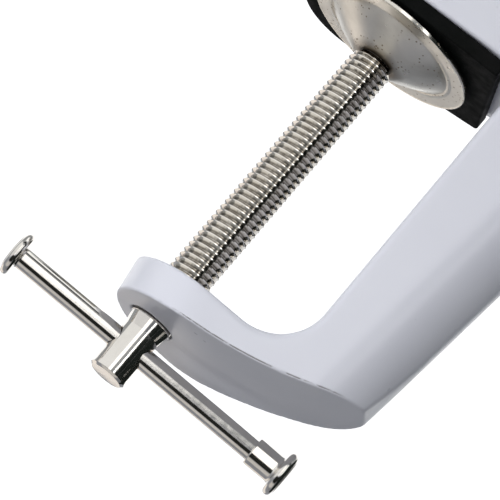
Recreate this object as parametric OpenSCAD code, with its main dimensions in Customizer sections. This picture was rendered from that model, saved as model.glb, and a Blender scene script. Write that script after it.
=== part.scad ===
// Table-edge screw clamp with a rubber-faced jaw and a swivel pressure pad.
// Millimetres. +Z is up along the screw, +X points from the screw to the spine.
// The origin is the centre of the rubber jaw face, on the screw axis.

/* [Frame casting] */
// Distance from the screw axis to the inner face of the spine
throat_depth = 30; // [28:0.5:34]
// Clear height from the top of the lower arm to the rubber face
throat_height = 73.9; // [60:0.1:90]
// Thickness of the lower arm at the screw
arm_t = 8.2; // [7:0.1:12]
// Radius of the lower arm's rounded free end, at its underside
tongue_r = 18.3; // [15:0.1:20]
// Radius of the rounded outer side of the spine
spine_r = 13; // [12:0.1:13.5]
// Fillet between the lower arm and the spine
throat_fillet = 12; // [6:0.5:14]
// Fillet between the upper jaw and the spine
jaw_fillet = 3; // [2:0.5:4]
// Radius of the curved underside of the lower arm
belly_r = 105; // [95:1:130]

/* [Rubber jaw pad] */
// Thickness of the rubber
rubber_t = 3.4; // [2:0.1:5]
// Half width of the rubber at its free end
rubber_half_w = 21.6; // [20:0.1:22]
// Distance from the screw axis to the free end of the rubber
rubber_reach = 24.6; // [22:0.1:26]
// Corner radius of the rubber's free end
rubber_corner_r = 10.8; // [8:0.1:12]
// Distance from the screw axis to the cut end of the rubber, beside the spine
rubber_end_x = 24.4; // [22:0.1:24.5]
// Angle by which that cut runs out of square
rubber_skew = 6.9; // [0:0.1:8]

/* [Screw] */
// Outside diameter of the screw thread
screw_d = 10; // [10:1:10]
// Diameter of the smooth head below the thread
head_d = 8.6; // [7.5:0.1:8.8]
// Length of the screw below the lower arm when the clamp is closed
head_l = 14.8; // [13:0.1:18]
// Diameter of the neck that carries the swivel pad
neck_d = 7; // [5:0.5:7]
// Diameter of the peened tip of the neck
tip_d = 9.2; // [8.6:0.1:10]

/* [Swivel pad] */
// Outside diameter of the swivel pad
pad_d = 40; // [36:0.5:40]
// Thickness of its sheet
pad_t = 0.9; // [0.7:0.05:1]
// Height of the dish, from its centre to its flat outer ring
pad_rise = 5.2; // [4.5:0.1:5.5]
// Width of the flat outer ring
pad_ring = 4.8; // [3:0.1:6]
// Gap between the flat ring and the rubber when the clamp is closed
closed_gap = 1; // [1:0.1:2]

/* [Tommy bar] */
// Diameter of the bar
bar_d = 4.8; // [4:0.1:5]
// Distance from the screw axis to the inner face of the formed head
bar_short = 29.2; // [25:0.1:32]
// Distance from the screw axis to the open end of the cap
bar_long = 33; // [30:0.1:36]
// Diameter of the formed head
bar_head_d = 10.3; // [8:0.1:11]
// Diameter of the cap's sleeve
cap_sleeve_d = 6.4; // [6:0.1:7]
// Diameter of the cap's flange
cap_flange_d = 10.7; // [9:0.1:11]
// Turn of the bar from the X axis when the clamp is closed
bar_turn = 12.5; // [0:0.5:90]

/* [Post socket] */
// Distance from the screw axis to the socket axis
socket_x = 44.5; // [43:0.1:45]
// Inside diameter of the bush, for a 12 mm post
post_bore_d = 12.2; // [12:0.1:12.6]
// Depth of the socket
socket_depth = 38; // [25:1:40]
// Diameter of the lock screw's thread
lock_d = 6; // [5:0.5:6]
// Diameter of the lock screw's knurled head
lock_head_d = 15; // [12:0.5:18]

/* [Hidden] */

$fn = 64;
hull_fn = 48;
curve_fn = 128;
eps = 0.01;
run_fit = 0.05;
over = 1;
far = 80;

paint = [0.84, 0.85, 0.88];
nickel = [0.78, 0.76, 0.72];
zinc = [0.72, 0.70, 0.64];
black = [0.05, 0.05, 0.05];
nylon = [0.2, 0.2, 0.21];
brass = [0.75, 0.62, 0.3];

// Levels of the casting
arm_top_z = -throat_height;
arm_bottom_z = arm_top_z - arm_t;
jaw_front_h = 10.6;
jaw_front_z = rubber_t + jaw_front_h;
top_z = 25;
jaw_lip = 0.5;
front_x = -rubber_reach - jaw_lip;
belly_x = 1.5;

// Plan of the lower arm and the spine
tongue_x = 9;
tongue_top_x = 7;
tongue_draft = 0.7;
spine_x = throat_depth + 4.2;
spine_lean = 11.3;
spine_top_r = spine_r + 0.8;
root_r = 14.5;

// Plan of the jaw: corners at the free end, shoulders near the spine
shoulder_x = 18;
shoulder_y = 5.5;
shoulder_r = 12.5;

// Screw and pad levels
screw_r = screw_d / 2;
screw_hole_r = screw_r + run_fit;
hole_chamfer = 0.5;
flare_l = 3;
flare_gap = 0.3;
end_chamfer = 0.6;
shoulder_chamfer = 0.6;
rim_top_z = -closed_gap;
pad_low_z = rim_top_z - pad_t - pad_rise;
shoulder_z = pad_low_z - 0.4;
washer_t = 1;
washer_r = 5.2;
washer_z = pad_low_z + pad_t + 0.35;
tip_z = washer_z + washer_t + 0.15;
tip_t = 1.3;
tip_edge_t = 0.5;
tip_taper = 1.2;
rim_bevel = 0.3;
lean_out = 0.25;
lean_in = 0.35;
pad_hole_r = neck_d / 2 + 0.3;
dish_r = 5.6;

// Tommy bar
bar_z = arm_bottom_z - 7;
bar_hole_d = bar_d + 0.8;
bar_bevel = 0.3;
cap_wall_gap = 0.02;
sleeve_l = 6.5;
flange_edge_r = 1.1;
flange_dome = 0.5;
bar_end = bar_long + sleeve_l - 0.2;
head_edge_r = 1;
head_dome = 0.6;
edge_bevel = 0.2;

// Post socket
bush_wall = 1.15;
bush_r = post_bore_d / 2 + bush_wall;
socket_r = bush_r + 0.02;
bush_flange_r = 9.2;
bush_flange_t = 1.6;
lock_z = 13;
lock_r = lock_d / 2;
lock_pad_r = lock_r - 0.1;
lock_pad_t = 2.4;
lock_face_x = socket_x + post_bore_d / 2 + 0.2;
pilot_r = 1.5;
pilot_l = 1.3;
pilot_gap = 0.1;
lock_head_x = 62.4;
lock_head_t = 8;
lock_boss_r = 6.5;
lock_boss_x = 60.8;
knurls = 24;
knurl_r = 0.8;
knurl_out = 0.35;

// Half of a shallow dome in profile, from its edge (r, z) to its crown h further along
function dome(r, z, h, steps = 6) =
    [for (i = [0 : steps]) [r * cos(90 * i / steps), z + h * sin(90 * i / steps)]];

// Rounded rim in profile: a half circle of radius e from (r - e, z), to side 1 or -1 along the axis
function rim(r, z, e, side, steps = 6) =
    [for (i = [0 : steps])
        [r - e + e * sin(180 * i / steps), z + side * e * (1 - cos(180 * i / steps))]];

module disc(x, r, z) {
    translate([x, 0, z]) cylinder(r = r, h = eps, $fn = hull_fn);
}

// Lower arm and spine as one tapering body, which runs a little past the arm's two faces:
// the side envelope and the throat cut those afterwards
module arm_and_spine() {
    hull() {
        disc(tongue_x, tongue_r, arm_bottom_z - over);
        disc(spine_x, spine_r, arm_bottom_z - over);
        disc(tongue_top_x, tongue_r - tongue_draft, arm_top_z + over);
        disc(throat_depth, root_r, top_z - eps);
        disc(spine_x + spine_lean, spine_top_r, top_z - eps);
    }
}

// Plan outline shared by the upper jaw and the rubber, grown by a lip
module jaw_plan(z, h, lip) {
    corner_x = rubber_corner_r - rubber_reach;
    corner_y = rubber_half_w - rubber_corner_r;
    hull() {
        for (side = [-1, 1]) {
            translate([corner_x, side * corner_y, z])
                cylinder(r = rubber_corner_r + lip, h = h, $fn = hull_fn);
            translate([shoulder_x, side * shoulder_y, z])
                cylinder(r = shoulder_r + lip, h = h, $fn = hull_fn);
        }
    }
}

// The jaw plate tapers into the top of the spine, around the socket
module upper_jaw() {
    hull() {
        jaw_plan(rubber_t, top_z - rubber_t, jaw_lip);
        disc(spine_x + spine_lean, spine_top_r, rubber_t);
        disc(spine_x + spine_lean, spine_top_r, top_z - eps);
    }
}

// Side view of the outside: curved belly below, sloping jaw top above
module side_envelope() {
    rotate([90, 0, 0]) linear_extrude(height = far, center = true) intersection() {
        union() {
            translate([belly_x, arm_bottom_z + belly_r]) circle(r = belly_r, $fn = curve_fn);
            translate([-far, arm_bottom_z]) square([far + belly_x, 2 * far]);
        }
        polygon([[-far, arm_bottom_z - over], [far, arm_bottom_z - over], [far, top_z],
                 [throat_depth, top_z], [front_x, jaw_front_z], [-far, jaw_front_z]]);
    }
}

module corner_fillet(x, z, r, up) {
    translate([x, z]) difference() {
        translate([-r, up > 0 ? 0 : -r]) square([r + over, r]);
        translate([-r, up * r]) circle(r = r);
    }
}

// Side view of the space between the arms
module throat() {
    rotate([90, 0, 0]) linear_extrude(height = far, center = true) difference() {
        translate([-far, arm_top_z]) square([far + throat_depth, throat_height + rubber_t]);
        corner_fillet(throat_depth, arm_top_z, throat_fillet, 1);
        corner_fillet(throat_depth, rubber_t, jaw_fillet, -1);
    }
}

module screw_hole() {
    translate([0, 0, arm_bottom_z - over]) cylinder(r = screw_hole_r, h = arm_t + 2 * over);
    translate([0, 0, arm_bottom_z - eps])
        cylinder(r1 = screw_hole_r + hole_chamfer, r2 = screw_hole_r, h = hole_chamfer);
    translate([0, 0, arm_top_z - hole_chamfer + eps])
        cylinder(r1 = screw_hole_r, r2 = screw_hole_r + hole_chamfer, h = hole_chamfer);
}

module frame_casting() {
    color(paint) difference() {
        intersection() {
            union() {
                arm_and_spine();
                upper_jaw();
                translate([socket_x, 0, lock_z]) rotate([0, 90, 0])
                    cylinder(r = lock_boss_r, h = lock_boss_x - socket_x);
            }
            side_envelope();
        }
        throat();
        screw_hole();
        translate([socket_x, 0, top_z - socket_depth]) cylinder(r = socket_r, h = socket_depth + over);
        translate([socket_x, 0, lock_z]) rotate([0, 90, 0])
            cylinder(r = lock_r + run_fit, h = lock_head_x - socket_x);
    }
}

module jaw_pad() {
    color(black) intersection() {
        jaw_plan(0, rubber_t, 0);
        translate([rubber_end_x, 0, 0]) rotate([0, 0, rubber_skew])
            translate([-far, -far / 2, -over]) cube([far, far, rubber_t + 2 * over]);
    }
}

// Smooth drilled head, flare, thread at its outside diameter, neck and peened tip
module screw_spindle() {
    end_z = arm_bottom_z - head_l;
    head_r = head_d / 2;
    neck_r = neck_d / 2;
    tip_r = tip_d / 2;
    color(nickel) difference() {
        rotate_extrude() polygon([
            [0, end_z], [head_r - end_chamfer, end_z], [head_r, end_z + end_chamfer],
            [head_r, arm_bottom_z - flare_l - flare_gap], [screw_r, arm_bottom_z - flare_gap],
            [screw_r, shoulder_z - shoulder_chamfer], [screw_r - shoulder_chamfer, shoulder_z],
            [neck_r, shoulder_z], [neck_r, tip_z], [tip_r, tip_z],
            [tip_r, tip_z + tip_edge_t], [tip_r - tip_taper, tip_z + tip_t], [0, tip_z + tip_t]]);
        translate([0, 0, bar_z]) rotate([0, 0, bar_turn]) rotate([0, 90, 0])
            cylinder(d = bar_hole_d, h = head_d + 2 * over, center = true);
    }
}

// Stamped dish with a flat outer ring
module pressure_pad() {
    rim_r = pad_d / 2;
    ring_r = rim_r - pad_ring;
    low = pad_low_z;
    high = rim_top_z;
    color(zinc) rotate_extrude() polygon([
        [pad_hole_r, low], [dish_r, low], [ring_r, high - pad_t], [rim_r - rim_bevel, high - pad_t],
        [rim_r, high - pad_t + rim_bevel], [rim_r, high - edge_bevel], [rim_r - edge_bevel, high],
        [ring_r - lean_out, high], [dish_r - lean_in, low + pad_t], [pad_hole_r, low + pad_t]]);
}

module pad_washer() {
    color(zinc) translate([0, 0, washer_z]) difference() {
        cylinder(r = washer_r, h = washer_t);
        translate([0, 0, -over]) cylinder(r = neck_d / 2 + run_fit, h = washer_t + 2 * over);
    }
}

// Shapes along the bar are drawn about Z and then laid along the bar
module along_bar() {
    translate([0, 0, bar_z]) rotate([0, 0, bar_turn]) rotate([0, 90, 0]) children();
}

module tommy_bar() {
    r = bar_d / 2;
    head_r = bar_head_d / 2;
    s = -bar_short;
    color(nickel) along_bar() rotate_extrude() polygon(concat(
        [[0, bar_end], [r - bar_bevel, bar_end], [r, bar_end - bar_bevel], [r, s]],
        rim(head_r, s, head_edge_r, -1),
        dome(head_r - head_edge_r - eps, s - 2 * head_edge_r, -head_dome)));
}

module bar_end_cap() {
    r = cap_sleeve_d / 2;
    flange_r = cap_flange_d / 2;
    s = bar_long;
    e = bar_long + sleeve_l;
    color(nickel) along_bar() rotate_extrude() polygon(concat(
        [[bar_d / 2 + cap_wall_gap, s], [r, s], [r, e]],
        rim(flange_r, e, flange_edge_r, 1),
        dome(flange_r - flange_edge_r - eps, e + 2 * flange_edge_r, flange_dome),
        [[0, e], [bar_d / 2 + cap_wall_gap, e]]));
}

// Flanged sleeve in the socket, with a window for the lock pad
module socket_bush() {
    color(nylon) translate([socket_x, 0, 0]) difference() {
        union() {
            translate([0, 0, top_z - socket_depth]) cylinder(r = bush_r, h = socket_depth);
            translate([0, 0, top_z]) cylinder(r = bush_flange_r, h = bush_flange_t);
        }
        translate([0, 0, top_z - socket_depth - over])
            cylinder(d = post_bore_d, h = socket_depth + bush_flange_t + 2 * over);
        translate([0, 0, lock_z]) rotate([0, 90, 0]) cylinder(r = lock_r + run_fit, h = bush_r + over);
    }
}

// Knurled thumb screw whose pilot turns in the lock pad
module lock_screw() {
    pad_back_x = lock_face_x + lock_pad_t;
    color(nickel) translate([0, 0, lock_z]) rotate([0, 90, 0]) difference() {
        union() {
            translate([0, 0, pad_back_x - pilot_l]) cylinder(r = pilot_r, h = pilot_l + over);
            translate([0, 0, pad_back_x + pilot_gap]) cylinder(r = lock_r, h = lock_head_x - pad_back_x);
            translate([0, 0, lock_head_x]) cylinder(d = lock_head_d, h = lock_head_t);
        }
        for (i = [0 : knurls - 1])
            rotate([0, 0, i * 360 / knurls])
                translate([lock_head_d / 2 + knurl_out, 0, lock_head_x - over])
                    cylinder(r = knurl_r, h = lock_head_t + 2 * over, $fn = 24);
    }
}

module lock_pad() {
    color(brass) translate([lock_face_x, 0, lock_z]) rotate([0, 90, 0]) difference() {
        cylinder(r = lock_pad_r, h = lock_pad_t);
        translate([0, 0, lock_pad_t - pilot_l - pilot_gap])
            cylinder(r = pilot_r + run_fit, h = pilot_l + pilot_gap + over);
    }
}

frame_casting();
jaw_pad();
screw_spindle();
pressure_pad();
pad_washer();
tommy_bar();
bar_end_cap();
socket_bush();
lock_screw();
lock_pad();
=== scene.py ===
"""Looks for the table-edge screw clamp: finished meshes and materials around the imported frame."""
import math

import bmesh
import bpy
import numpy as np
from mathutils import Matrix, Vector


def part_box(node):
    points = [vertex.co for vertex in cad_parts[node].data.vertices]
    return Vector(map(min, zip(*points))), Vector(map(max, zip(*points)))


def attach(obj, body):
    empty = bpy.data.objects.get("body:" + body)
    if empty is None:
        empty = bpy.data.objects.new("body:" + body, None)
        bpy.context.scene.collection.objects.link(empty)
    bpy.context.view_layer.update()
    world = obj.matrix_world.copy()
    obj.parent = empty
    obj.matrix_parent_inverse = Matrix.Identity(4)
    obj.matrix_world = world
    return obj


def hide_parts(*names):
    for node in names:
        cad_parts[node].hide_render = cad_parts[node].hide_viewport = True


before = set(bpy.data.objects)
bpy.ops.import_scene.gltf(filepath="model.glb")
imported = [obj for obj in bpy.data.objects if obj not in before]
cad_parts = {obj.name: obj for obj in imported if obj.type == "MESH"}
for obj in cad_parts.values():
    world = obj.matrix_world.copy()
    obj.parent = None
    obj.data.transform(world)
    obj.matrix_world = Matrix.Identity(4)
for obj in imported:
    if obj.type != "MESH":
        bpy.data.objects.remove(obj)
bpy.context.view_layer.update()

MM = 0.001


def box_mm(node):
    """Lowest and highest corner of a CAD node, in millimetres."""
    low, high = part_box(node)
    return np.array(low) / MM, np.array(high) / MM


# ---------------------------------------------------------------- dimensions, millimetres
FRAME_LOW, FRAME_HIGH = box_mm("frame_casting")
SCREW_LOW, SCREW_HIGH = box_mm("screw_spindle")
PAD_LOW, PAD_HIGH = box_mm("pressure_pad")
WASHER_LOW, WASHER_HIGH = box_mm("pad_washer")
RUBBER_LOW, RUBBER_HIGH = box_mm("jaw_pad")
BUSH_LOW, BUSH_HIGH = box_mm("socket_bush")
LOCK_LOW, LOCK_HIGH = box_mm("lock_screw")
TIP_LOW, TIP_HIGH = box_mm("lock_pad")

ARM_BOTTOM = FRAME_LOW[2]
ARM_TOP = ARM_BOTTOM + 8.2
FRAME_TOP = FRAME_HIGH[2]
RUBBER_T = RUBBER_HIGH[2]

# The throat: depth from the screw's axis, and the fillets at its foot and its head
THROAT_X = 30.0
THROAT_FILLET = 12.0
JAW_FILLET = 3.0

# The lower arm's underside: radius of its arc and the X where it starts
BELLY_R = 105.0
BELLY_X = 1.5

# The strip on the spine's back: X at the arm's underside, and X gained per Z
BACK_X = 45.6
BACK_LEAN = 0.185

# The spine's plan at the frame's top: x, y and radius
SPINE_TOP = (45.5, 0.0, 13.8)

# The rubber's cut end: X on the middle line, and degrees out of square
RUBBER_END_X = 24.4
RUBBER_SKEW = 6.9

# Low end of the jaw's sloping top
JAW_FRONT_X = FRAME_LOW[0]
JAW_FRONT_Z = RUBBER_T + 10.6

SCREW_R = SCREW_HIGH[0]
THREAD_PITCH = 1.5
HEAD_R = 4.3
NECK_R = 3.5
PAD_R = PAD_HIGH[0]
PAD_T = 0.9
PAD_RING = 4.8

BAR_Z = ARM_BOTTOM - 7.0
BAR_TURN = 12.5
BAR_R = 2.4
BAR_HOLE_R = 2.8

# From the screw's axis to the bar's head and to its cap
BAR_SHORT = 29.2
BAR_LONG = 33.0

SOCKET_X = (BUSH_LOW[0] + BUSH_HIGH[0]) / 2
POST_R = 6.1
LOCK_Z = (LOCK_LOW[2] + LOCK_HIGH[2]) / 2


# ---------------------------------------------------------------- camera, light and stage
CAMERA_AZIMUTH = 14.8
CAMERA_ELEVATION = -15.9
CAMERA_ROLL = 40.5
CAMERA_DISTANCE = 879.0
CAMERA_LENS = 304.0
CAMERA_TARGET = (6.0, 0.0, ARM_BOTTOM + 25.3)

# The stage is in metres
AIM_POINT = Vector((0.01, 0, -0.04))
FLOOR_LEVEL = (ARM_BOTTOM - 700.0) * MM
FLOOR_HALF_WIDTH = 9.0
FLOOR_FRONT = -9.0
BACKDROP_Y = 4.0
BACKDROP_HEIGHT = 7.0
BACKDROP_BEND = 1.2
BACKDROP_FADE = 1.0
FLOOR_GREY = (0.42, 0.431, 0.468, 1)
BACKDROP_WHITE = (0.92, 0.92, 0.92, 1)
WARM_WHITE = (1.0, 0.985, 0.965)
GREEN_BLACK = (0.012, 0.016, 0.014)
WARM_BLACK = (0.02, 0.02, 0.018)


def direction(azimuth, elevation):
    """Unit vector from the object towards a place round it; azimuth 0 is on the -Y side."""
    a, e = math.radians(azimuth), math.radians(elevation)
    return Vector((math.sin(a) * math.cos(e), -math.cos(a) * math.cos(e), math.sin(e)))


def make_camera():
    """A long lens that looks up at the clamp from the front, with a roll."""
    data = bpy.data.cameras.new("camera")
    data.lens = CAMERA_LENS
    data.clip_start, data.clip_end = 0.05, 30.0
    camera = bpy.data.objects.new("camera", data)
    back = direction(CAMERA_AZIMUTH, CAMERA_ELEVATION)
    right = Vector((0, 0, 1)).cross(back).normalized()
    up = back.cross(right)
    c, s = math.cos(math.radians(CAMERA_ROLL)), math.sin(math.radians(CAMERA_ROLL))
    rolled_right = c * right + s * up
    rolled_up = c * up - s * right
    turn = Matrix((rolled_right, rolled_up, back)).transposed()
    place = (Vector(CAMERA_TARGET) + back * CAMERA_DISTANCE) * MM
    camera.matrix_world = Matrix.Translation(place) @ turn.to_4x4()
    bpy.context.scene.collection.objects.link(camera)
    bpy.context.scene.camera = camera


def stand(thing, azimuth, elevation, distance):
    """Puts a light or card round the object, facing it and unseen by the camera."""
    towards = direction(azimuth, elevation)
    thing.location = AIM_POINT + towards * distance
    thing.rotation_mode = "QUATERNION"
    thing.rotation_quaternion = towards.to_track_quat("Z", "Y")
    thing.visible_camera = False
    bpy.context.scene.collection.objects.link(thing)


def area_light(name, azimuth, elevation, distance, size, power, colour=(1, 1, 1), mirrored=True):
    """A soft panel light that faces the object; unless mirrored, no reflection shows it."""
    data = bpy.data.lights.new(name, "AREA")
    data.shape = "RECTANGLE"
    data.size, data.size_y = size
    data.energy = power
    data.color = colour
    light = bpy.data.objects.new(name, data)
    light.visible_glossy = mirrored
    stand(light, azimuth, elevation, distance)


def card_material(name, colour, glow):
    """Matte, evenly coloured card, which may glow a little."""
    material = bpy.data.materials.new(name)
    material.use_nodes = True
    shader = material.node_tree.nodes["Principled BSDF"]
    shader.inputs["Base Color"].default_value = (*colour, 1)
    shader.inputs["Roughness"].default_value = 0.9
    shader.inputs["Specular IOR Level"].default_value = 0.2
    if glow:
        shader.inputs["Emission Color"].default_value = (*colour, 1)
        shader.inputs["Emission Strength"].default_value = glow
    return material


def card(name, azimuth, elevation, distance, size, colour, glow=0.0):
    """A flat panel that faces the object; only light and reflections meet it."""
    mesh = bpy.data.meshes.new(name)
    w, h = size[0] / 2, size[1] / 2
    mesh.from_pydata([(-w, -h, 0), (w, -h, 0), (w, h, 0), (-w, h, 0)], [], [(0, 1, 2, 3)])
    mesh.materials.append(card_material(name, colour, glow))
    panel = bpy.data.objects.new(name, mesh)
    stand(panel, azimuth, elevation, distance)


def make_floor():
    """A wide plain floor that curves up into a white backdrop behind the object."""
    bend_start, bend_steps = BACKDROP_Y - BACKDROP_BEND, 24
    outline = [(FLOOR_FRONT, FLOOR_LEVEL), (bend_start, FLOOR_LEVEL)]
    for i in range(1, bend_steps + 1):
        a = math.radians(90 * i / bend_steps)
        rise = BACKDROP_BEND - BACKDROP_BEND * math.cos(a)
        outline.append((bend_start + BACKDROP_BEND * math.sin(a), FLOOR_LEVEL + rise))
    outline.append((BACKDROP_Y, FLOOR_LEVEL + BACKDROP_HEIGHT))
    mesh = bpy.data.meshes.new("floor")
    verts = [(x, y, z) for y, z in outline for x in (-FLOOR_HALF_WIDTH, FLOOR_HALF_WIDTH)]
    faces = [(2 * i, 2 * i + 1, 2 * i + 3, 2 * i + 2) for i in range(len(outline) - 1)]
    mesh.from_pydata(verts, [], faces)
    mesh.polygons.foreach_set("use_smooth", [True] * len(faces))
    floor = bpy.data.objects.new("floor", mesh)
    mesh.materials.append(floor_material())
    bpy.context.scene.collection.objects.link(floor)


def floor_material():
    """Grey floor that turns white and glows where the backdrop rises."""
    material = bpy.data.materials.new("floor")
    material.use_nodes = True
    tree = material.node_tree
    shader = tree.nodes["Principled BSDF"]
    shader.inputs["Roughness"].default_value = 0.9
    shader.inputs["Specular IOR Level"].default_value = 0.1
    place = tree.nodes.new("ShaderNodeNewGeometry")
    split = tree.nodes.new("ShaderNodeSeparateXYZ")
    tree.links.new(place.outputs["Position"], split.inputs[0])
    rise = tree.nodes.new("ShaderNodeMapRange")
    rise.inputs["From Min"].default_value = FLOOR_LEVEL
    rise.inputs["From Max"].default_value = FLOOR_LEVEL + BACKDROP_FADE
    tree.links.new(split.outputs["Z"], rise.inputs["Value"])
    tone = tree.nodes.new("ShaderNodeMix")
    tone.data_type = "RGBA"
    tone.inputs["A"].default_value = FLOOR_GREY
    tone.inputs["B"].default_value = BACKDROP_WHITE
    tree.links.new(rise.outputs["Result"], tone.inputs["Factor"])
    tree.links.new(tone.outputs["Result"], shader.inputs["Base Color"])
    glow = tree.nodes.new("ShaderNodeMath")
    glow.operation = "MULTIPLY"
    glow.inputs[1].default_value = 0.9
    tree.links.new(rise.outputs["Result"], glow.inputs[0])
    shader.inputs["Emission Color"].default_value = (1, 1, 1, 1)
    tree.links.new(glow.outputs[0], shader.inputs["Emission Strength"])
    return material


def make_world():
    """A dim cool surrounding light, and plain display colours."""
    world = bpy.data.worlds.new("studio")
    world.use_nodes = True
    shade = world.node_tree.nodes["Background"]
    shade.inputs["Color"].default_value = (0.92, 0.96, 1.0, 1)
    shade.inputs["Strength"].default_value = 0.35
    bpy.context.scene.world = world
    bpy.context.scene.view_settings.view_transform = "Standard"


# ---------------------------------------------------------------- node helpers
class Nodes:
    """Short calls for building one material's node tree on object coordinates in metres."""

    def __init__(self, name):
        self.material = bpy.data.materials.new(name)
        self.material.use_nodes = True
        self.tree = self.material.node_tree
        self.shader = self.tree.nodes["Principled BSDF"]
        self.place = self.tree.nodes.new("ShaderNodeTexCoord").outputs["Object"]

    def set(self, **values):
        """Sets the shader's own sockets; an underscore stands for a space."""
        for key, value in values.items():
            self.shader.inputs[key.replace("_", " ")].default_value = value

    def link(self, source, socket):
        """Feeds one of the shader's sockets."""
        self.tree.links.new(source, self.shader.inputs[socket])

    def new(self, kind, **values):
        node = self.tree.nodes.new(kind)
        for key, value in values.items():
            setattr(node, key, value)
        return node

    def noise(self, scale, detail=3.0, rough=0.5, warp=0.0, place=None):
        node = self.new("ShaderNodeTexNoise")
        node.inputs["Scale"].default_value = scale
        node.inputs["Detail"].default_value = detail
        node.inputs["Roughness"].default_value = rough
        node.inputs["Distortion"].default_value = warp
        self.tree.links.new(place or self.place, node.inputs["Vector"])
        return node.outputs["Fac"]

    def spots(self, scale):
        """Distance to the nearest of many scattered points, in cells."""
        node = self.new("ShaderNodeTexVoronoi")
        node.inputs["Scale"].default_value = scale
        self.tree.links.new(self.place, node.inputs["Vector"])
        return node.outputs["Distance"]

    def stretch(self, x, y, z):
        """The place with each axis scaled."""
        node = self.new("ShaderNodeMapping")
        node.inputs["Scale"].default_value = (x, y, z)
        self.tree.links.new(self.place, node.inputs["Vector"])
        return node.outputs["Vector"]

    def math(self, operation, a, b):
        node = self.new("ShaderNodeMath", operation=operation)
        for socket, value in zip(node.inputs, (a, b)):
            if isinstance(value, (int, float)):
                socket.default_value = value
            else:
                self.tree.links.new(value, socket)
        return node.outputs[0]

    def span(self, value, low, high, out_low=0.0, out_high=1.0):
        """Takes low to high onto out_low to out_high and holds the ends."""
        node = self.new("ShaderNodeMapRange")
        node.inputs["From Min"].default_value = low
        node.inputs["From Max"].default_value = high
        node.inputs["To Min"].default_value = out_low
        node.inputs["To Max"].default_value = out_high
        self.tree.links.new(value, node.inputs["Value"])
        return node.outputs["Result"]

    def mix(self, factor, a, b):
        node = self.new("ShaderNodeMix", data_type="RGBA")
        self.tree.links.new(factor, node.inputs["Factor"])
        for name, value in (("A", a), ("B", b)):
            if isinstance(value, tuple):
                node.inputs[name].default_value = (*value, 1)
            else:
                self.tree.links.new(value, node.inputs[name])
        return node.outputs["Result"]

    def along(self, axis):
        """The place's X, Y or Z."""
        node = self.new("ShaderNodeSeparateXYZ")
        self.tree.links.new(self.place, node.inputs[0])
        return node.outputs[axis]

    def radius(self):
        """Distance from the Z axis."""
        flat = self.stretch(1, 1, 0)
        node = self.new("ShaderNodeVectorMath", operation="LENGTH")
        self.tree.links.new(flat, node.inputs[0])
        return node.outputs["Value"]

    def belly_depth(self):
        """How far inside the lower arm's curved underside a point lies; about 0 on the underside."""
        shift = self.new("ShaderNodeVectorMath", operation="SUBTRACT")
        self.tree.links.new(self.place, shift.inputs[0])
        shift.inputs[1].default_value = (BELLY_X * MM, 0, (ARM_BOTTOM + BELLY_R) * MM)
        flat = self.new("ShaderNodeVectorMath", operation="MULTIPLY")
        self.tree.links.new(shift.outputs["Vector"], flat.inputs[0])
        flat.inputs[1].default_value = (1, 0, 1)
        length = self.new("ShaderNodeVectorMath", operation="LENGTH")
        self.tree.links.new(flat.outputs["Vector"], length.inputs[0])
        return self.math("SUBTRACT", BELLY_R * MM, length.outputs["Value"])

    def crease(self, depth):
        """1 on the side wall just above the lower arm's underside: the band where a dark line of shade is
        painted along the crease.
        """
        low = self.span(depth, 0.00016, 0.00026)
        high = self.span(depth, 0.00036, 0.0005, 1.0, 0.0)
        x = self.along("X")
        beyond = self.span(x, 0.006, 0.009)
        before = self.span(x, 0.041, 0.044, 1.0, 0.0)
        band, stretch = self.math("MULTIPLY", low, high), self.math("MULTIPLY", beyond, before)
        return self.math("MULTIPLY", band, stretch)

    def bump(self, height, strength, distance, normal=None):
        """Adds a bump over an earlier one, if given, and makes it the shader's normal."""
        node = self.new("ShaderNodeBump")
        node.inputs["Strength"].default_value = strength
        node.inputs["Distance"].default_value = distance
        self.tree.links.new(height, node.inputs["Height"])
        if normal is not None:
            self.tree.links.new(normal, node.inputs["Normal"])
        self.link(node.outputs["Normal"], "Normal")
        return node.outputs["Normal"]


# ---------------------------------------------------------------- materials
def paint_material():
    """Semi-gloss pale grey enamel over a casting: orange peel, pinholes and painted shade, a dark line
    along the lower crease.
    """
    n = Nodes("casting_paint")
    n.set(Metallic=0.0, Roughness=0.3, Coat_Weight=0.35, Coat_Roughness=0.24)
    mottle = n.span(n.noise(40, 3), 0.35, 0.65)
    base = n.mix(mottle, (0.55, 0.557, 0.611), (0.565, 0.572, 0.624))
    inside = n.belly_depth()
    cells = n.spots(210)
    rare = n.math("MULTIPLY", n.span(n.noise(95, 1), 0.67, 0.69), n.span(inside, 0.0002, 0.0008))
    hole = n.math("MULTIPLY", n.span(cells, 0.025, 0.05, 1.0, 0.0), rare)
    # Painted shade: a patchy dark line where the side wall meets the underside
    patchy = n.math("MULTIPLY", n.crease(inside), n.span(n.noise(420, 3, 0.6), 0.37, 0.52))
    # dark holds the real pinholes and the painted crease shade
    dark = n.math("MAXIMUM", hole, patchy)
    n.link(n.mix(n.math("MULTIPLY", dark, 0.85), base, (0.12, 0.11, 0.105)), "Base Color")
    n.link(n.span(n.noise(300, 2), 0.0, 1.0, 0.24, 0.38), "Roughness")
    peel = n.bump(n.noise(650, 2), 0.08, 0.0001)
    swell = n.bump(n.noise(110, 2), 0.12, 0.00015, peel)
    n.bump(dark, 0.6, -0.0002, swell)
    return n.material


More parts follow.
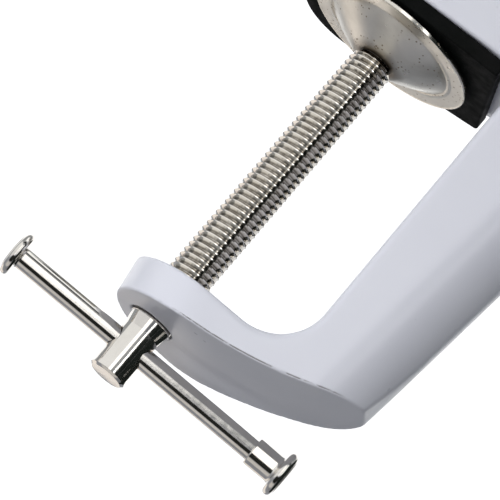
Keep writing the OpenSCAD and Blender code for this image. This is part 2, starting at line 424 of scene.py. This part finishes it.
def nickel_material(name, groove=None):
    """Bright warm nickel plate with fine scratches and smears.

    groove, if given, is the radius where the brown darkening is full, the radius where it ends and the
    height where it starts, in millimetres.
    """
    n = Nodes(name)
    n.set(Metallic=1.0)
    smear = n.span(n.noise(160, 4, 0.6, 0.4), 0.35, 0.7)
    base = n.mix(smear, (0.88, 0.85, 0.80), (0.82, 0.785, 0.73))
    if groove:
        low, high, start = groove
        fade = 0.3
        # Darker brown in the thread's roots and on the thinner neck and tip above the head's flare
        deep = n.span(n.radius(), low * MM, high * MM, 1.0, 0.0)
        above = n.span(n.along("Z"), (start - fade) * MM, (start + fade) * MM)
        depth = n.math("MULTIPLY", deep, above)
        root_darkening = n.math("MULTIPLY", depth, n.span(n.noise(700, 3), 0.3, 0.6, 0.35, 0.8))
        base = n.mix(root_darkening, base, (0.15, 0.125, 0.09))
    n.link(base, "Base Color")
    n.link(n.span(n.noise(900, 3), 0.3, 0.75, 0.07, 0.15), "Roughness")
    grain = n.noise(1.0, 3, 0.6, 0.0, n.stretch(1500, 1500, 180))
    n.bump(grain, 0.03, 0.00004)
    return n.material


def plate_material():
    """Satin plated sheet with brown specks, a stain ring, faint turning marks and painted shade round the
    neck.
    """
    n = Nodes("plated_sheet")
    n.set(Metallic=1.0)
    radius = n.radius()
    cloud = n.span(n.noise(110, 5, 0.6, 0.6), 0.35, 0.7)
    base = n.mix(cloud, (0.82, 0.79, 0.72), (0.70, 0.665, 0.60))
    wobble = n.math("ADD", radius, n.math("MULTIPLY", n.noise(90, 3), 0.004))
    ring_r = (PAD_R - PAD_RING) * MM
    outer = n.span(wobble, ring_r + 0.0011, ring_r + 0.0019)
    inner = n.span(wobble, ring_r + 0.0019, ring_r + 0.0032, 1.0, 0.0)
    stain = n.math("MULTIPLY", n.math("MULTIPLY", outer, inner), n.span(n.noise(70, 2), 0.42, 0.6))
    base = n.mix(n.math("MULTIPLY", stain, 0.55), base, (0.34, 0.26, 0.13))
    # Painted shadow and reflection of the screw: the dish darkens to brown-black round the neck
    centre = n.span(wobble, 0.0065, 0.0095, 0.95, 0.0)
    base = n.mix(centre, base, (0.10, 0.07, 0.04))
    cluster = n.span(n.noise(170, 2), 0.44, 0.52)
    speck = n.math("MULTIPLY", n.span(n.spots(900), 0.14, 0.23, 1.0, 0.0), cluster)
    base = n.mix(n.math("MULTIPLY", speck, 0.8), base, (0.25, 0.17, 0.09))
    n.link(base, "Base Color")
    rough = n.math("MULTIPLY", n.span(n.noise(260, 4), 0.3, 0.7, 0.26, 0.4),
                   n.span(radius, (PAD_R - 0.5) * MM, (PAD_R - 0.2) * MM, 1.0, 0.45))
    n.link(n.math("ADD", rough, n.math("MULTIPLY", speck, 0.3)), "Roughness")
    turning = n.new("ShaderNodeTexNoise", noise_dimensions="1D")
    turning.inputs["Scale"].default_value = 5200
    n.tree.links.new(radius, turning.inputs["W"])
    marks = n.bump(turning.outputs["Fac"], 0.05, 0.00004)
    dents = n.bump(n.noise(230, 3), 0.12, 0.00012, marks)
    n.bump(speck, 0.4, -0.00006, dents)
    return n.material


def rubber_material():
    """Matte black rubber with a fine pebble and a little dust."""
    n = Nodes("black_rubber")
    n.set(Metallic=0.0, Specular_IOR_Level=0.06)
    dust = n.span(n.noise(60, 5, 0.65), 0.5, 0.75)
    n.link(n.mix(dust, (0.0025, 0.003, 0.0027), (0.006, 0.006, 0.006)), "Base Color")
    n.link(n.span(n.noise(400, 3), 0.3, 0.7, 0.55, 0.75), "Roughness")
    pebble = n.bump(n.span(n.spots(1500), 0.0, 0.7), 0.25, 0.00008)
    n.bump(n.noise(220, 3), 0.2, 0.00012, pebble)
    return n.material


def nylon_material():
    """Black moulded nylon, a little uneven in tone and gloss."""
    n = Nodes("black_nylon")
    n.set(Metallic=0.0, Specular_IOR_Level=0.45)
    patchy = n.span(n.noise(150, 4, 0.6), 0.4, 0.7)
    n.link(n.mix(patchy, (0.020, 0.020, 0.022), (0.034, 0.034, 0.037)), "Base Color")
    n.link(n.span(n.noise(500, 3), 0.3, 0.7, 0.34, 0.52), "Roughness")
    n.bump(n.noise(1400, 2), 0.15, 0.00005)
    return n.material


def brass_material():
    """Turned brass, a little tarnished."""
    n = Nodes("turned_brass")
    n.set(Metallic=1.0)
    tarnish = n.span(n.noise(400, 4, 0.6), 0.4, 0.7)
    n.link(n.mix(tarnish, (0.74, 0.56, 0.26), (0.50, 0.36, 0.16)), "Base Color")
    n.link(n.span(n.noise(900, 3), 0.3, 0.7, 0.2, 0.38), "Roughness")
    n.bump(n.noise(1800, 2), 0.1, 0.00004)
    return n.material


# ---------------------------------------------------------------- mesh helpers
def add_piece(name, verts, faces, material, body, nodes, sharp=None):
    """Makes a closed shaded mesh from millimetre points, rides it on a body and stands it for CAD nodes."""
    mesh = bpy.data.meshes.new(name)
    mesh.from_pydata([tuple(v) for v in np.asarray(verts, float) * MM], [], faces)
    mesh.validate()
    mesh.update()
    piece = bpy.data.objects.new(name, mesh)
    bpy.context.scene.collection.objects.link(piece)
    outward(piece)
    dress(piece, material, sharp)
    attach(piece, body)
    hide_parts(*nodes)
    return piece


def dress(piece, material, sharp=None):
    """Gives a piece its material and smooth shading, with edges over the angle sharp kept crisp."""
    mesh = piece.data
    mesh.materials.clear()
    mesh.materials.append(material)
    mesh.polygons.foreach_set("use_smooth", [True] * len(mesh.polygons))
    if sharp is not None:
        mesh.set_sharp_from_angle(angle=math.radians(sharp))
    mesh.update()


def rounded(points, steps=6):
    """An outline's points with each corner that names a radius turned into an arc."""
    out = []
    count = len(points)
    for i, point in enumerate(points):
        here = np.array(point[:2], float)
        radius = point[2] if len(point) > 2 else 0.0
        before = np.array(points[i - 1][:2], float)
        after = np.array(points[(i + 1) % count][:2], float)
        if radius <= 0:
            out.append(here)
            continue
        a = (before - here) / np.linalg.norm(before - here)
        b = (after - here) / np.linalg.norm(after - here)
        half = math.acos(max(-1.0, min(1.0, float(a @ b)))) / 2
        reach = radius / math.tan(half)
        centre = here + (a + b) / np.linalg.norm(a + b) * radius / math.sin(half)
        start, end = here + a * reach - centre, here + b * reach - centre
        sweep = math.pi - 2 * half
        for k in range(steps + 1):
            t = k / steps
            left = math.sin((1 - t) * sweep) / math.sin(sweep)
            right = math.sin(t * sweep) / math.sin(sweep)
            out.append(centre + start * left + end * right)
    return out


def turned(outline, segments=96):
    """Points and faces of a closed outline (radius, height) turned about Z."""
    verts, faces, rings = [], [], []
    for r, z in outline:
        if r < 1e-6:
            rings.append([len(verts)] * segments)
            verts.append((0.0, 0.0, z))
            continue
        rings.append(list(range(len(verts), len(verts) + segments)))
        for k in range(segments):
            a = 2 * math.pi * k / segments
            verts.append((r * math.cos(a), r * math.sin(a), z))
    for i in range(len(rings)):
        low, high = rings[i], rings[(i + 1) % len(rings)]
        if low[0] == low[1] and high[0] == high[1]:
            continue
        for k in range(segments):
            j = (k + 1) % segments
            face = [low[k], low[j], high[j], high[k]]
            faces.append(tuple(dict.fromkeys(face)))
    return np.array(verts), faces


def outward(piece):
    """Turns every face of a closed mesh outwards."""
    work = bmesh.new()
    work.from_mesh(piece.data)
    bmesh.ops.remove_doubles(work, verts=work.verts, dist=1e-7)
    bmesh.ops.recalc_face_normals(work, faces=work.faces)
    work.to_mesh(piece.data)
    work.free()
    piece.data.update()


def placed(verts, matrix):
    """Points moved by a 4x4 matrix, in millimetres."""
    m = np.array(matrix)
    return np.asarray(verts) @ m[:3, :3].T + m[:3, 3]


def cut(piece, verts, faces):
    """Takes the closed shape out of the piece with an exact boolean."""
    mesh = bpy.data.meshes.new("cutter")
    mesh.from_pydata([tuple(v) for v in np.asarray(verts, float) * MM], [], faces)
    cutter = bpy.data.objects.new("cutter", mesh)
    bpy.context.scene.collection.objects.link(cutter)
    outward(cutter)
    modifier = piece.modifiers.new("cut", "BOOLEAN")
    modifier.object = cutter
    modifier.operation = "DIFFERENCE"
    modifier.solver = "EXACT"
    bpy.context.view_layer.update()
    graph = bpy.context.evaluated_depsgraph_get()
    result = bpy.data.meshes.new_from_object(piece.evaluated_get(graph))
    piece.modifiers.clear()
    piece.data = result
    bpy.data.objects.remove(cutter)
    bpy.data.meshes.remove(mesh)


# ---------------------------------------------------------------- casting, as a distance field
# Centres and radii of the plan's two ends, at the arm's underside, the arm's top and the frame's top
ARM_LEVELS = (ARM_BOTTOM, ARM_TOP, FRAME_TOP)
TONGUE_X = (9.0, 7.0, THROAT_X)
TONGUE_R = (18.3, 17.6, 14.5)
SPINE_X = (34.2, 35.1, SPINE_TOP[0])
SPINE_R = (13.0, 13.0, SPINE_TOP[2])

# Circles that the jaw's plan wraps: x, y and radius
JAW_CORNER = (-13.8, 10.8, 10.8)
JAW_SHOULDER = (18.0, 5.5, 12.5)
JAW_LIP = 0.5
JAW_BLEND = 3.0

EDGE = 1.4
CRISP_EDGE = 0.35
JAW_EDGE = 0.9
THROAT_EDGE = ((4.0, 0.4), (26.0, 2.2))
HOLE_R = 5.3
HOLE_EDGE = 0.2
SOCKET_R = 7.3
SOCKET_EDGE = 0.4
BOSS_R = 6.5
BOSS_END_X = 60.6
BOSS_BLEND = 1.2
LOCK_HOLE_R = 3.08
LOCK_HOLE_EDGE = 0.3


def soft_union(a, b, k):
    """Union of two solids, blended over the width k."""
    h = np.clip(0.5 + 0.5 * (b - a) / k, 0, 1)
    return b + (a - b) * h - k * h * (1 - h)


def round_cut(a, b, r):
    """Intersection of two solids with the edge between them rounded to radius r."""
    outside = np.sqrt(np.maximum(a + r, 0) ** 2 + np.maximum(b + r, 0) ** 2)
    return np.minimum(np.maximum(a, b), -r) + outside


def two_rounds(x, y, ax, ay, ra, bx, by, rb):
    """Distance in plan to the outline that wraps a circle at a and a circle at b."""
    dx, dy = bx - ax, by - ay
    h = dx * dx + dy * dy
    px, py = x - ax, y - ay
    qx = np.abs(px * dy - py * dx) / h
    qy = (px * dx + py * dy) / h
    b = ra - rb
    cx = np.sqrt(h - b * b)
    k = cx * qy - b * qx
    m = cx * qx + b * qy
    n = qx * qx + qy * qy
    near_a = np.sqrt(h * n) - ra
    near_b = np.sqrt(np.maximum(h * (n + 1 - 2 * qy), 0)) - rb
    return np.where(k < 0, near_a, np.where(k > cx, near_b, m - ra))


def arm_plan(x, y, z):
    """Lower arm and spine: a tapering plan whose wall leans as it rises."""
    tongue_x, tongue_r = np.interp(z, ARM_LEVELS, TONGUE_X), np.interp(z, ARM_LEVELS, TONGUE_R)
    spine_x, spine_r = np.interp(z, ARM_LEVELS, SPINE_X), np.interp(z, ARM_LEVELS, SPINE_R)
    return two_rounds(x, y, tongue_x, 0.0, tongue_r, spine_x, 0.0, spine_r)


def jaw_plan(x, y, lip):
    """Plan of the upper jaw, lip wider than the rubber: blunt free end, waist at the spine."""
    w = np.abs(y)
    corner_x, corner_y, corner_r = JAW_CORNER
    shoulder_x, shoulder_y, shoulder_r = JAW_SHOULDER
    corner = (corner_x, corner_y, corner_r + lip)
    shoulder = (shoulder_x, shoulder_y, shoulder_r + lip)
    front = np.hypot(x - corner_x, np.maximum(w - corner_y, 0)) - corner[2]
    side = two_rounds(x, w, *corner, *shoulder)
    waist = two_rounds(x, w, *shoulder, *SPINE_TOP)
    return np.minimum(front, np.minimum(side, waist))


def belly(x, z):
    """Underside of the lower arm: flat at the screw, then a long curve up to the spine."""
    curve = np.hypot(x - BELLY_X, z - ARM_BOTTOM - BELLY_R) - BELLY_R
    return np.where(x > BELLY_X, curve, ARM_BOTTOM - z)


def back(x, z):
    """Flat fettled strip low on the back of the spine, which fades out as it rises."""
    return (x - BACK_X - BACK_LEAN * (z - ARM_BOTTOM)) / math.hypot(1, BACK_LEAN)


def roof(x, z):
    """Top of the jaw: level round the socket, sloping down to the free end."""
    run, rise = THROAT_X - JAW_FRONT_X, FRAME_TOP - JAW_FRONT_Z
    slope = ((z - JAW_FRONT_Z) * run - (x - JAW_FRONT_X) * rise) / math.hypot(run, rise)
    return np.maximum(slope, z - FRAME_TOP)


def throat(x, z):
    """Space between the arms: a slot open towards -X with a fillet in each inner corner."""
    low, high = ARM_TOP, RUBBER_T
    middle, half = (low + high) / 2, (high - low) / 2
    r = np.where(z < middle, THROAT_FILLET, JAW_FILLET)
    qx = x - THROAT_X + r
    qz = np.abs(z - middle) - half + r
    outside = np.hypot(np.maximum(qx, 0), np.maximum(qz, 0))
    return np.minimum(np.maximum(qx, qz), 0) + outside - r


def casting(p):
    """Signed distance from the painted casting's skin, millimetres, for an array of points."""
    x, y, z = p[..., 0], p[..., 1], p[..., 2]
    arm = arm_plan(x, y, z)
    jaw = round_cut(jaw_plan(x, y, JAW_LIP), RUBBER_T - z, JAW_EDGE)
    solid = soft_union(arm, jaw, JAW_BLEND)
    solid = round_cut(solid, roof(x, z), EDGE)
    (near_x, near_r), (far_x, far_r) = THROAT_EDGE
    solid = round_cut(solid, -throat(x, z), np.interp(x, (near_x, far_x), (near_r, far_r)))
    solid = round_cut(solid, back(x, z), CRISP_EDGE)
    solid = round_cut(solid, belly(x, z), CRISP_EDGE)
    round_lock = np.hypot(y, z - LOCK_Z)
    boss = np.maximum(round_lock - BOSS_R, np.maximum(x - BOSS_END_X, SOCKET_X - x))
    solid = soft_union(solid, boss, BOSS_BLEND)
    hole = np.maximum(np.hypot(x, y) - HOLE_R, z - ARM_TOP - THROAT_FILLET)
    solid = round_cut(solid, -hole, HOLE_EDGE)
    socket = np.maximum(np.hypot(x - SOCKET_X, y) - SOCKET_R, BUSH_LOW[2] - z)
    solid = round_cut(solid, -socket, SOCKET_EDGE)
    lock_hole = np.maximum(round_lock - LOCK_HOLE_R, SOCKET_X - x)
    return round_cut(solid, -lock_hole, LOCK_HOLE_EDGE)


def skin(field, low, high, step):
    """Quad mesh of the zero level of a distance field (surface nets), drawn onto the level."""
    axes = [np.arange(a, b + step, step) for a, b in zip(low, high)]
    grid = np.stack(np.meshgrid(*axes, indexing="ij"), -1)
    value = np.empty(grid.shape[:3], np.float32)
    for i in range(grid.shape[0]):
        value[i] = field(grid[i])
    inside = value < 0
    nx, ny, nz = (n - 1 for n in value.shape)
    total = np.zeros((nx, ny, nz, 3), np.float32)
    hits = np.zeros((nx, ny, nz), np.float32)
    corners = [(a, b, c) for a in (0, 1) for b in (0, 1) for c in (0, 1)]
    for one in corners:
        for axis in range(3):
            if one[axis]:
                continue
            two = tuple(1 if k == axis else v for k, v in enumerate(one))
            v1 = value[one[0] : one[0] + nx, one[1] : one[1] + ny, one[2] : one[2] + nz]
            v2 = value[two[0] : two[0] + nx, two[1] : two[1] + ny, two[2] : two[2] + nz]
            crossing = (v1 < 0) != (v2 < 0)
            t = np.where(crossing, v1 / np.where(crossing, v1 - v2, 1), 0)
            for k in range(3):
                total[..., k] += np.where(crossing, one[k] + (t if k == axis else 0), 0)
            hits += crossing
    active = hits > 0
    index = np.full(active.shape, -1, np.int64)
    index[active] = np.arange(active.sum())
    cells = np.argwhere(active)
    local = total[active] / hits[active][:, None]
    points = np.array(low) + (cells + local) * step
    faces = []
    for axis in range(3):
        u, v = (axis + 1) % 3, (axis + 2) % 3
        lower = [slice(1, -1)] * 3
        upper = [slice(1, -1)] * 3
        lower[axis], upper[axis] = slice(0, -1), slice(1, None)
        a, b = inside[tuple(lower)], inside[tuple(upper)]
        for flip, edge in ((False, a & ~b), (True, ~a & b)):
            base = np.argwhere(edge)
            base[:, u] += 1
            base[:, v] += 1
            ring = []
            for du, dv in ((0, 0), (-1, 0), (-1, -1), (0, -1)):
                cell = base.copy()
                cell[:, u] += du
                cell[:, v] += dv
                ring.append(index[cell[:, 0], cell[:, 1], cell[:, 2]])
            quad = np.stack(ring, 1)
            faces.append(quad[:, ::-1] if flip else quad)
    faces = np.concatenate(faces)
    for _ in range(3):
        points = eased(points, faces)
        points = points - descent(field, points)
    return points - descent(field, points), faces


def eased(points, faces):
    """Each point moved halfway to the middle of its neighbours, so that no quad is a sliver."""
    start, end = faces.ravel(), np.roll(faces, -1, axis=1).ravel()
    count = np.bincount(start, minlength=len(points))
    total = np.stack([np.bincount(start, points[end, k], len(points)) for k in range(3)], -1)
    return (points + total / count[:, None]) / 2


def descent(field, points, eps=0.02, least_slope=0.5, longest=0.3):
    """The step, no longer than longest, that takes each point onto the field's zero level."""
    here = field(points)
    rises = [field(points + eps * e) - field(points - eps * e) for e in np.eye(3)]
    slope = np.stack(rises, -1) / (2 * eps)
    size = np.maximum((slope**2).sum(-1), least_slope**2)
    step = (here / size)[:, None] * slope
    length = np.linalg.norm(step, axis=1, keepdims=True)
    return step * np.minimum(1, longest / np.maximum(length, 1e-9))


def make_casting():
    step = 0.5
    margin = 1.3
    points, faces = skin(casting, FRAME_LOW - margin, FRAME_HIGH + margin, step)
    add_piece("frame_body", points, faces.tolist(), paint_material(), "frame",
              ["frame_casting"])


# ---------------------------------------------------------------- rubber jaw pad
def make_jaw_pad():
    """The rubber sheet: the jaw's plan, cut a little askew beside the spine, with softened edges."""
    c, s = math.cos(math.radians(RUBBER_SKEW)), math.sin(math.radians(RUBBER_SKEW))

    end_edge, lower_edge, upper_edge = 0.5, 0.35, 0.2

    def rubber(p):
        x, y, z = p[..., 0], p[..., 1], p[..., 2]
        plan = round_cut(jaw_plan(x, y, 0.0), (x - RUBBER_END_X) * c + y * s, end_edge)
        slab = round_cut(plan, -z, lower_edge)
        return round_cut(slab, z - RUBBER_T, upper_edge)

    step = 0.4
    margin = 1.1
    points, faces = skin(rubber, RUBBER_LOW - margin, RUBBER_HIGH + margin, step)
    add_piece("jaw_rubber", points, faces.tolist(), rubber_material(), "frame",
              ["jaw_pad"])


# ---------------------------------------------------------------- screw
def thread_depth(phase, crest=0.16, root=0.14):
    """Depth of the thread below its crest, 0 to 1, over one pitch with a flat crest and root."""
    p = phase % 1.0
    if p < crest:
        return 0.0
    p = (p - crest) / (1 - crest)
    flank = (1 - root / (1 - crest)) / 2
    if p < flank:
        return p / flank
    if p > 1 - flank:
        return (1 - p) / flank
    return 1.0


def thread_rings(bottom, top, crest_r, depth, pitch, end_r, segments, per_pitch=14):
    """Rings of points on a right-hand thread that runs out at its foot and is chamfered at its top."""
    rings = []
    run_out, chamfer = 1.5 * pitch, 0.9
    count = int((top - bottom) / pitch * per_pitch)
    for i in range(-per_pitch, count + 1):
        ring = []
        for k in range(segments):
            z_true = bottom + (i / per_pitch + k / segments) * pitch
            z = min(max(z_true, bottom), top)
            fade = min(1.0, max(0.0, (z_true - bottom) / run_out))
            r = crest_r - depth * fade * thread_depth(i / per_pitch)
            r = min(r, end_r + max(0.0, top - z_true) * chamfer)
            a = 2 * math.pi * k / segments
            ring.append((r * math.cos(a), r * math.sin(a), z))
        rings.append(ring)
    return rings


def lathe_rings(outline, segments):
    """One ring of points for each (radius, height)."""
    return [
        [(r * math.cos(2 * math.pi * k / segments), r * math.sin(2 * math.pi * k / segments), z)
         for k in range(segments)]
        for r, z in outline
    ]


def joined_rings(rings, segments):
    """Points and faces of a stack of rings, closed at both ends."""
    verts = [p for ring in rings for p in ring]
    faces = []
    for i in range(len(rings) - 1):
        for k in range(segments):
            j = (k + 1) % segments
            a, b = i * segments, (i + 1) * segments
            faces.append((a + k, a + j, b + j, b + k))
    low, high = len(verts), len(verts) + 1
    verts.append((0, 0, rings[0][0][2]))
    verts.append((0, 0, rings[-1][0][2]))
    last = (len(rings) - 1) * segments
    for k in range(segments):
        j = (k + 1) % segments
        faces.append((low, j, k))
        faces.append((high, last + k, last + j))
    return np.array(verts), faces


def cylinder(radius, length, segments):
    """A closed cylinder centred on the origin along Z."""
    half = length / 2
    return turned([(0, -half), (radius, -half), (radius, half), (0, half)], segments)


def along_bar():
    """Matrix that lays Z along the tommy bar, with the origin on the screw axis."""
    turn = Matrix.Rotation(math.radians(BAR_TURN), 4, "Z") @ Matrix.Rotation(math.radians(90), 4, "Y")
    return Matrix.Translation((0, 0, BAR_Z)) @ turn


def along_x(x):
    """Matrix that lays Z along X at the lock screw's height."""
    return Matrix.Translation((x, 0, LOCK_Z)) @ Matrix.Rotation(math.radians(90), 4, "Y")


def make_screw():
    """Drilled head that flares into the thread, a shoulder, the pad's neck and a peened tip."""
    segments = 96
    bottom, tip_high = SCREW_LOW[2], SCREW_HIGH[2]
    flare = ARM_BOTTOM - 0.3
    shoulder = PAD_LOW[2] - 0.4
    tip_low = WASHER_HIGH[2] + 0.15
    crest = SCREW_R - 0.03
    thread_h, thread_end_r = 0.9, 4.05
    end_r, lip_r, stem_r = HEAD_R - 0.55, HEAD_R + 0.05, HEAD_R - 0.1
    peened_r, tip_r, crown_r, point_r = 4.3, 4.6, 3.6, 1.2
    head = rounded([(0, bottom), (end_r, bottom, 0.12), (lip_r, bottom + 0.5, 0.12),
                    (stem_r, bottom + 1.6, 0.3), (stem_r, flare - 3.0, 0.8),
                    (crest - 0.15, flare - 0.1, 0.3), (crest, flare)])
    neck = rounded([(thread_end_r, shoulder), (NECK_R + 0.35, shoulder), (NECK_R, shoulder + 0.2),
                    (NECK_R, tip_low), (peened_r, tip_low, 0.15), (tip_r, tip_low + 0.5, 0.25),
                    (crown_r, tip_high - 0.2, 0.4), (point_r, tip_high), (0, tip_high)])
    rings = lathe_rings(head[1:], segments)
    rings += thread_rings(flare, shoulder, crest, thread_h, THREAD_PITCH, thread_end_r, segments)
    rings += lathe_rings(neck[:-1], segments)
    verts, faces = joined_rings(rings, segments)
    nickel = nickel_material("spindle_nickel", groove=(4.1, 4.6, flare))
    piece = add_piece("screw", verts, faces, nickel, "screw", ["screw_spindle"])
    drill, drill_faces = cylinder(BAR_HOLE_R, 16, 64)
    cut(piece, placed(drill, along_bar()), drill_faces)
    dress(piece, piece.data.materials[0], sharp=38)


def button(radius, start, side, edge, crown):
    """Profile of a thick round-rimmed disc along the bar, from its inner face to its crown."""
    points = []
    rim_steps, crown_steps = 12, 8
    for i in range(rim_steps + 1):
        a = math.pi * i / rim_steps
        points.append((radius - edge + edge * math.sin(a), start + side * edge * (1 - math.cos(a))))
    for i in range(1, crown_steps + 1):
        a = math.pi / 2 * i / crown_steps
        points.append(((radius - edge) * math.cos(a), start + side * (2 * edge + crown * math.sin(a))))
    return points


def make_bar():
    """Rod with a formed head at its short end and a chamfer under the cap."""
    start, end, chamfer = -BAR_SHORT, BAR_LONG + 6.3, 0.4
    head = button(radius=5.15, start=start, side=-1, edge=1.0, crown=0.6)
    outline = rounded([(0, end), (BAR_R - chamfer, end), (BAR_R, end - chamfer, 0.2), (BAR_R, start, 0.5)]
                      + head)
    verts, faces = turned(outline)
    add_piece("bar", placed(verts, along_bar()), faces, nickel_material("bar_nickel"), "bar",
              ["tommy_bar"], sharp=40)


def make_bar_cap():
    """Pressed cap: a drawn sleeve over the bar's end with a rolled flange."""
    bore, sleeve = BAR_R + 0.02, 3.2
    start, end = BAR_LONG, BAR_LONG + 6.5
    flange = button(radius=5.35, start=end, side=1, edge=1.1, crown=0.5)
    outline = rounded([(0, end), (bore, end), (bore, start), (sleeve - 0.15, start, 0.1),
                       (sleeve, start + 0.25, 0.2), (sleeve, end, 0.8)] + flange)
    verts, faces = turned(outline)
    add_piece("bar_cap", placed(verts, along_bar()), faces, nickel_material("cap_nickel"), "bar",
              ["bar_end_cap"], sharp=40)


# ---------------------------------------------------------------- swivel pad and washer
def make_pressure_pad():
    """Stamped dish: flat centre, slightly domed cone, a pressed ridge and a flat outer ring."""
    low, high = PAD_LOW[2], PAD_HIGH[2]
    ring = PAD_R - PAD_RING
    hole, dish = NECK_R + 0.3, 5.6
    under = high - PAD_T
    swell, cone_points = 0.28, 14
    cone_out = [(dish + (ring - dish) * t, low + (under - low) * t - swell * math.sin(math.pi * t))
                for t in np.linspace(0.06, 0.94, cone_points)]
    cone_in = [(r - 0.36, z + PAD_T + 0.12) for r, z in reversed(cone_out)]
    outline = rounded(
        [(hole, low, 0.15), (dish, low)] + cone_out
        + [(ring, under, 0.5), (ring + 0.55, under - 0.12, 0.5), (ring + 1.3, under + 0.02, 0.6),
           (PAD_R - 0.6, under + 0.1, 0.3), (PAD_R - 0.05, under - 0.02, 0.12), (PAD_R, high - 0.1, 0.1),
           (PAD_R - 0.3, high, 0.15), (ring - 0.25, high, 0.6)]
        + cone_in + [(dish - 0.35, low + PAD_T), (hole, low + PAD_T, 0.15)], 5)
    verts, faces = turned(outline, 144)
    add_piece("swivel_pad", verts, faces, plate_material(), "swivel", ["pressure_pad"],
              sharp=50)


def make_washer():
    bore, rim = NECK_R + 0.05, WASHER_HIGH[0]
    low, high = WASHER_LOW[2], WASHER_HIGH[2]
    outline = rounded([(bore, low, 0.1), (rim, low, 0.2), (rim, high, 0.3), (bore, high, 0.1)])
    verts, faces = turned(outline, 72)
    add_piece("washer", verts, faces, nickel_material("washer_plate"), "carrier",
              ["pad_washer"], sharp=50)


# ---------------------------------------------------------------- post socket and lock
def make_bush():
    """Flanged sleeve in the post socket, with a window for the lock screw."""
    low, high = BUSH_LOW[2], BUSH_HIGH[2]
    wall, flange = 7.25, (BUSH_HIGH[0] - BUSH_LOW[0]) / 2
    outline = rounded([(POST_R, low, 0.2), (wall, low, 0.4), (wall, FRAME_TOP), (flange, FRAME_TOP, 0.25),
                       (flange, high, 0.6), (POST_R, high, 0.8)])
    verts, faces = turned(outline)
    verts = verts + np.array((SOCKET_X, 0, 0))
    piece = add_piece("bush", verts, faces, nylon_material(), "frame", ["socket_bush"])
    window_r, window_l, window_x = 3.05, 12, SOCKET_X + 8
    window, window_faces = cylinder(window_r, window_l, 48)
    cut(piece, placed(window, along_x(window_x)), window_faces)
    dress(piece, piece.data.materials[0], sharp=40)


def make_lock_screw():
    """Thumb screw: pilot, thread, shoulder and a straight-knurled head."""
    segments = 96
    knurl_count, knurl_depth, end_bite = 32, 0.45, 0.1
    back = TIP_HIGH[0]
    head_low, head_high = 62.4, LOCK_HIGH[0]
    head_r = 7.5
    face_r, bevel_r = head_r - 0.9, head_r - 0.45
    collar_r, recess_r, dimple_r = 4.4, 3.2, 0.6
    pilot_r, thread_end_r, crest, thread_h, pitch = 1.5, 2.4, 2.98, 0.55, 1.0
    thread_low, thread_high = back + 0.1, head_low - 1.2

    def knurled(r, x, bite):
        ring = []
        for k in range(segments):
            a = 2 * math.pi * k / segments
            dip = 0.5 - 0.5 * math.cos(knurl_count * a)
            ring.append(((r - bite * dip) * math.cos(a), (r - bite * dip) * math.sin(a), x))
        return ring

    stem = lathe_rings([(pilot_r, back - 1.3), (pilot_r, thread_low), (thread_end_r, thread_low)], segments)
    thread = thread_rings(thread_low, thread_high, crest, thread_h, pitch, thread_end_r, segments)
    # Turned end for end, so that the chamfered end leads; the hand of the thread stays right
    both_ends = thread_low + thread_high
    turned_round = [[(x, -y, both_ends - z) for x, y, z in ring[:1] + ring[:0:-1]]
                    for ring in reversed(thread)]
    collar = lathe_rings([(collar_r - 0.2, thread_high), (collar_r, head_low - 1.0), (collar_r, head_low)],
                         segments)
    head = lathe_rings([(face_r, head_low)], segments)
    head += [knurled(bevel_r, head_low + 0.25, end_bite), knurled(head_r, head_low + 0.8, knurl_depth)]
    head += [knurled(head_r, head_high - 0.8, knurl_depth), knurled(bevel_r, head_high - 0.25, end_bite)]
    head += lathe_rings([(face_r, head_high), (recess_r, head_high), (recess_r - 0.6, head_high - 0.5),
                         (dimple_r, head_high - 0.7)], segments)
    verts, faces = joined_rings(stem + turned_round + collar + head, segments)
    add_piece("thumb_screw", placed(verts, along_x(0)), faces, nickel_material("lock_nickel"), "lock",
              ["lock_screw"], sharp=40)


def make_lock_tip():
    """Brass pad with a blind hole for the lock screw's pilot."""
    low, high = TIP_LOW[0], TIP_HIGH[0]
    r = (TIP_HIGH[1] - TIP_LOW[1]) / 2
    hole_r, hole_end = 1.55, high - 1.4
    outline = rounded([(0, low), (r, low, 0.3), (r, high, 0.2), (hole_r, high), (hole_r, hole_end),
                       (0, hole_end)])
    verts, faces = turned(outline, 48)
    add_piece("lock_tip", placed(verts, along_x(0)), faces, brass_material(), "lock_carrier",
              ["lock_pad"], sharp=40)


# ---------------------------------------------------------------- build
make_camera()
make_world()
make_floor()
area_light("key", -32, 2, 1.2, (2.6, 1.9), 8.6, WARM_WHITE)
area_light("tall", 7, -3, 1.0, (0.3, 1.5), 1.15, WARM_WHITE)
area_light("left", -75, -8, 0.3, (0.2, 0.3), 0.22, mirrored=False)
area_light("back_right", 120, 5, 0.6, (0.4, 0.6), 1.1, (0.94, 0.97, 1.0), mirrored=False)
area_light("strip", 38, 10, 1.2, (0.16, 1.4), 1.8)
area_light("low_fill", -8, -20, 0.3, (0.25, 0.2), 0.54, (0.97, 0.98, 1.0), mirrored=False)
area_light("top", 14, 80, 1.2, (1.0, 0.7), 1.8)
card("flag_right", 115, 0, 0.7, (1.3, 1.5), GREEN_BLACK)
card("flag_front", 14, -50, 0.6, (0.8, 0.36), WARM_BLACK)
card("flag_line", 14, 51, 0.8, (1.2, 0.14), WARM_BLACK)
card("flag_mid", 58, 0, 0.7, (0.34, 1.5), GREEN_BLACK)
card("floor_glow", 14, -84, 0.5, (0.6, 0.24), (0.56, 0.54, 0.52), glow=0.3)
card("bounce", -143, -30, 0.85, (0.75, 0.42), (0.93, 0.86, 0.80), glow=0.5)

make_casting()
make_jaw_pad()
make_screw()
make_bar()
make_bar_cap()
make_pressure_pad()
make_washer()
make_bush()
make_lock_screw()
make_lock_tip()
